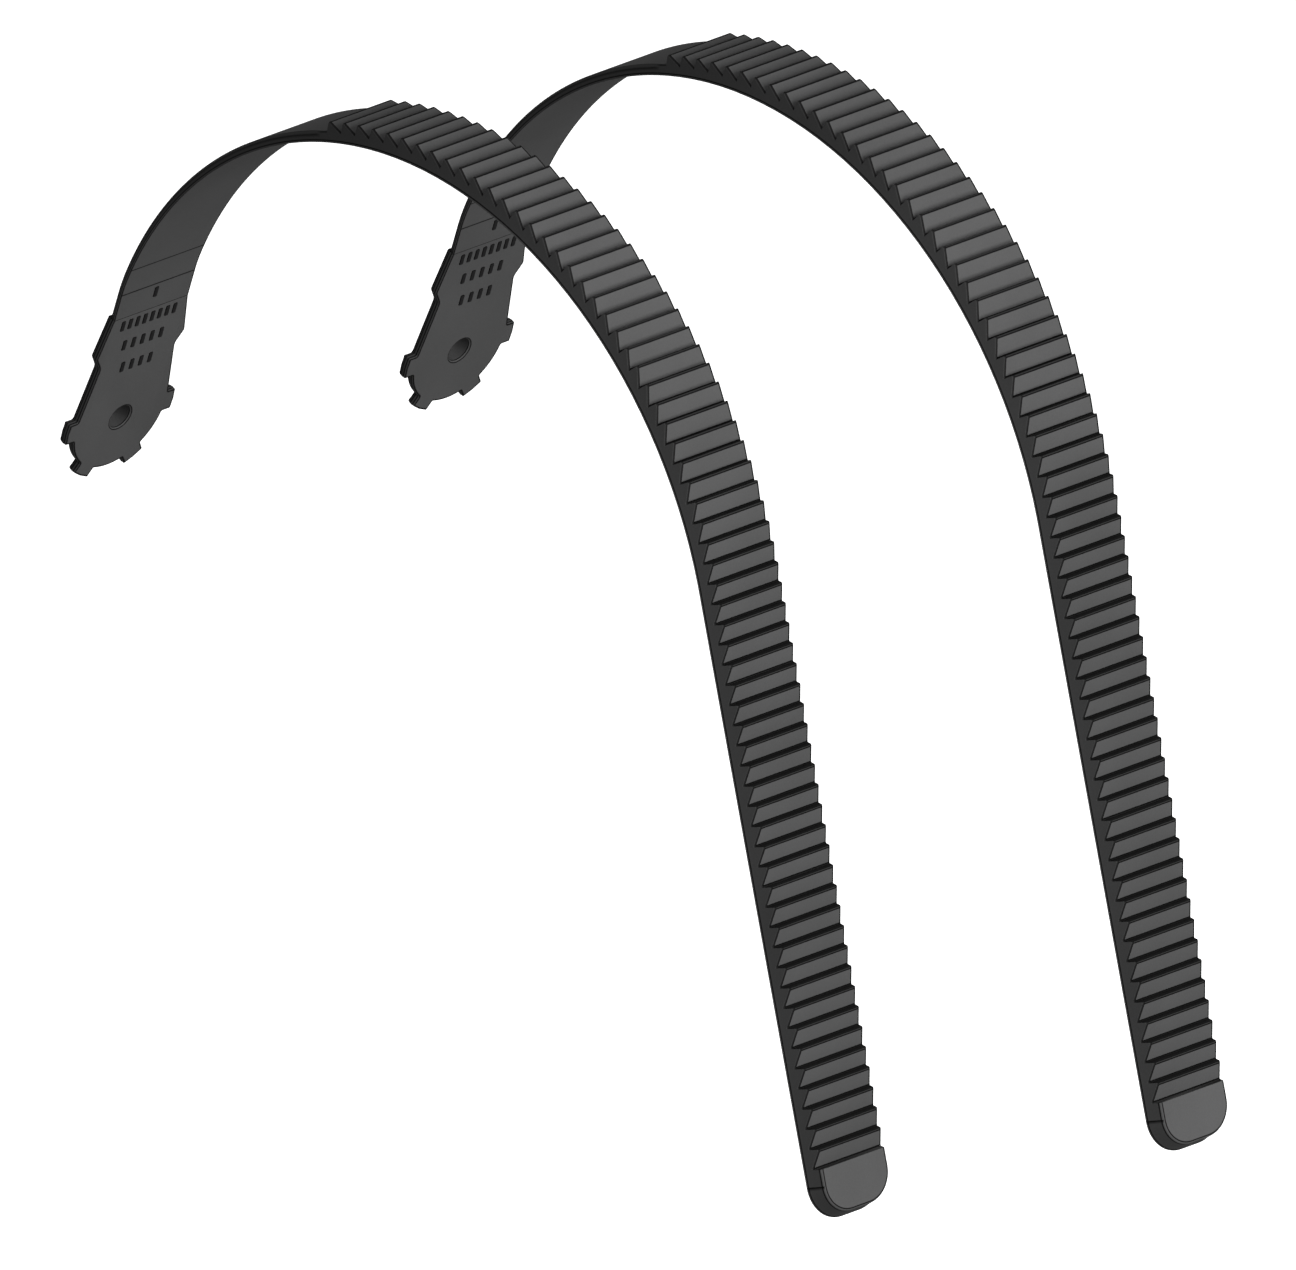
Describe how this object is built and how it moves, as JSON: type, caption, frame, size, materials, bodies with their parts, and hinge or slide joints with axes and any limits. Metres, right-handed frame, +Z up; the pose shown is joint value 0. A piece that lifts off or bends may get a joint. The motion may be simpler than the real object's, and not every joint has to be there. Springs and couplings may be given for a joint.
{
  "type": "ratchet strap pair",
  "caption": "Pair of curved elastomer ladder straps, each with a drilled fixing head, a plain neck and a sawtooth band ending in a pull tab.",
  "frame": {"origin": "middle of the near head's bolt hole, halfway through the head plate", "axes": "+X from the fixing heads towards the tails, +Y across the straps from the near strap to the far strap, +Z up"},
  "size_m": [0.2927, 0.122, 0.2361],
  "materials": {
    "strap_rubber": "moulded satin"
  },
  "bodies": {
    "heads": {"near_head": "strap_rubber", "far_head": "strap_rubber"},
    "near_neck_lower": {"near_neck_lower": "strap_rubber"},
    "near_neck_middle": {"near_neck_middle": "strap_rubber"},
    "near_neck_upper": {"near_neck_upper": "strap_rubber"},
    "near_band_1": {"near_band_1": "strap_rubber"},
    "near_band_2": {"near_band_2": "strap_rubber"},
    "near_band_3": {"near_band_3": "strap_rubber"},
    "near_band_4": {"near_band_4": "strap_rubber"},
    "near_band_5": {"near_band_5": "strap_rubber"},
    "near_band_6": {"near_band_6": "strap_rubber"},
    "near_band_7": {"near_band_7": "strap_rubber", "near_tip": "strap_rubber"},
    "far_neck_lower": {"far_neck_lower": "strap_rubber"},
    "far_neck_middle": {"far_neck_middle": "strap_rubber"},
    "far_neck_upper": {"far_neck_upper": "strap_rubber"},
    "far_band_1": {"far_band_1": "strap_rubber"},
    "far_band_2": {"far_band_2": "strap_rubber"},
    "far_band_3": {"far_band_3": "strap_rubber"},
    "far_band_4": {"far_band_4": "strap_rubber"},
    "far_band_5": {"far_band_5": "strap_rubber"},
    "far_band_6": {"far_band_6": "strap_rubber"},
    "far_band_7": {"far_band_7": "strap_rubber", "far_tip": "strap_rubber"}
  },
  "joints": [
    {"name": "near_flex_1", "type": "hinge", "parent": "heads", "child": "near_neck_lower", "pos_m": [0.01321, 0, 0.03881], "axis": [0, 1, 0], "range_deg": [-8, 6], "stiffness_Nm_per_rad": 1},
    {"name": "near_flex_2", "type": "hinge", "parent": "near_neck_lower", "child": "near_neck_middle", "pos_m": [0.03036, 0, 0.06687], "axis": [0, 1, 0], "range_deg": [-8, 6], "stiffness_Nm_per_rad": 1},
    {"name": "near_flex_3", "type": "hinge", "parent": "near_neck_middle", "child": "near_neck_upper", "pos_m": [0.05536, 0, 0.08843], "axis": [0, 1, 0], "range_deg": [-8, 6], "stiffness_Nm_per_rad": 1},
    {"name": "near_flex_4", "type": "hinge", "parent": "near_neck_upper", "child": "near_band_1", "pos_m": [0.08567, 0, 0.10148], "axis": [0, 1, 0], "range_deg": [-8, 6], "stiffness_Nm_per_rad": 1},
    {"name": "near_flex_5", "type": "hinge", "parent": "near_band_1", "child": "near_band_2", "pos_m": [0.12982, 0, 0.10364], "axis": [0, 1, 0], "range_deg": [-8, 6], "stiffness_Nm_per_rad": 1},
    {"name": "near_flex_6", "type": "hinge", "parent": "near_band_2", "child": "near_band_3", "pos_m": [0.17116, 0, 0.08801], "axis": [0, 1, 0], "range_deg": [-8, 6], "stiffness_Nm_per_rad": 1},
    {"name": "near_flex_7", "type": "hinge", "parent": "near_band_3", "child": "near_band_4", "pos_m": [0.20282, 0, 0.05717], "axis": [0, 1, 0], "range_deg": [-8, 6], "stiffness_Nm_per_rad": 1},
    {"name": "near_flex_8", "type": "hinge", "parent": "near_band_4", "child": "near_band_5", "pos_m": [0.21731, 0, 0.0259], "axis": [0, 1, 0], "range_deg": [-8, 6], "stiffness_Nm_per_rad": 1},
    {"name": "near_flex_9", "type": "hinge", "parent": "near_band_5", "child": "near_band_6", "pos_m": [0.23009, 0, -0.02242], "axis": [0, 1, 0], "range_deg": [-8, 6], "stiffness_Nm_per_rad": 1},
    {"name": "near_flex_10", "type": "hinge", "parent": "near_band_6", "child": "near_band_7", "pos_m": [0.24286, 0, -0.07076], "axis": [0, 1, 0], "range_deg": [-8, 6], "stiffness_Nm_per_rad": 1},
    {"name": "far_flex_1", "type": "hinge", "parent": "heads", "child": "far_neck_lower", "pos_m": [0.03841, 0.0872, 0.03881], "axis": [0, 1, 0], "range_deg": [-8, 6], "stiffness_Nm_per_rad": 1},
    {"name": "far_flex_2", "type": "hinge", "parent": "far_neck_lower", "child": "far_neck_middle", "pos_m": [0.05556, 0.0872, 0.06687], "axis": [0, 1, 0], "range_deg": [-8, 6], "stiffness_Nm_per_rad": 1},
    {"name": "far_flex_3", "type": "hinge", "parent": "far_neck_middle", "child": "far_neck_upper", "pos_m": [0.08056, 0.0872, 0.08843], "axis": [0, 1, 0], "range_deg": [-8, 6], "stiffness_Nm_per_rad": 1},
    {"name": "far_flex_4", "type": "hinge", "parent": "far_neck_upper", "child": "far_band_1", "pos_m": [0.11087, 0.0872, 0.10148], "axis": [0, 1, 0], "range_deg": [-8, 6], "stiffness_Nm_per_rad": 1},
    {"name": "far_flex_5", "type": "hinge", "parent": "far_band_1", "child": "far_band_2", "pos_m": [0.15502, 0.0872, 0.10364], "axis": [0, 1, 0], "range_deg": [-8, 6], "stiffness_Nm_per_rad": 1},
    {"name": "far_flex_6", "type": "hinge", "parent": "far_band_2", "child": "far_band_3", "pos_m": [0.19636, 0.0872, 0.08801], "axis": [0, 1, 0], "range_deg": [-8, 6], "stiffness_Nm_per_rad": 1},
    {"name": "far_flex_7", "type": "hinge", "parent": "far_band_3", "child": "far_band_4", "pos_m": [0.22802, 0.0872, 0.05717], "axis": [0, 1, 0], "range_deg": [-8, 6], "stiffness_Nm_per_rad": 1},
    {"name": "far_flex_8", "type": "hinge", "parent": "far_band_4", "child": "far_band_5", "pos_m": [0.24251, 0.0872, 0.0259], "axis": [0, 1, 0], "range_deg": [-8, 6], "stiffness_Nm_per_rad": 1},
    {"name": "far_flex_9", "type": "hinge", "parent": "far_band_5", "child": "far_band_6", "pos_m": [0.25529, 0.0872, -0.02242], "axis": [0, 1, 0], "range_deg": [-8, 6], "stiffness_Nm_per_rad": 1},
    {"name": "far_flex_10", "type": "hinge", "parent": "far_band_6", "child": "far_band_7", "pos_m": [0.26806, 0.0872, -0.07076], "axis": [0, 1, 0], "range_deg": [-8, 6], "stiffness_Nm_per_rad": 1}
  ],
  "couplings": [
    {"joint": "near_flex_2", "follows": "near_flex_1", "ratio": 1},
    {"joint": "near_flex_3", "follows": "near_flex_1", "ratio": 1},
    {"joint": "near_flex_4", "follows": "near_flex_1", "ratio": 1},
    {"joint": "near_flex_5", "follows": "near_flex_1", "ratio": 1},
    {"joint": "near_flex_6", "follows": "near_flex_1", "ratio": 1},
    {"joint": "near_flex_7", "follows": "near_flex_1", "ratio": 1},
    {"joint": "near_flex_8", "follows": "near_flex_1", "ratio": 1},
    {"joint": "near_flex_9", "follows": "near_flex_1", "ratio": 1},
    {"joint": "near_flex_10", "follows": "near_flex_1", "ratio": 1},
    {"joint": "far_flex_2", "follows": "far_flex_1", "ratio": 1},
    {"joint": "far_flex_3", "follows": "far_flex_1", "ratio": 1},
    {"joint": "far_flex_4", "follows": "far_flex_1", "ratio": 1},
    {"joint": "far_flex_5", "follows": "far_flex_1", "ratio": 1},
    {"joint": "far_flex_6", "follows": "far_flex_1", "ratio": 1},
    {"joint": "far_flex_7", "follows": "far_flex_1", "ratio": 1},
    {"joint": "far_flex_8", "follows": "far_flex_1", "ratio": 1},
    {"joint": "far_flex_9", "follows": "far_flex_1", "ratio": 1},
    {"joint": "far_flex_10", "follows": "far_flex_1", "ratio": 1}
  ]
}
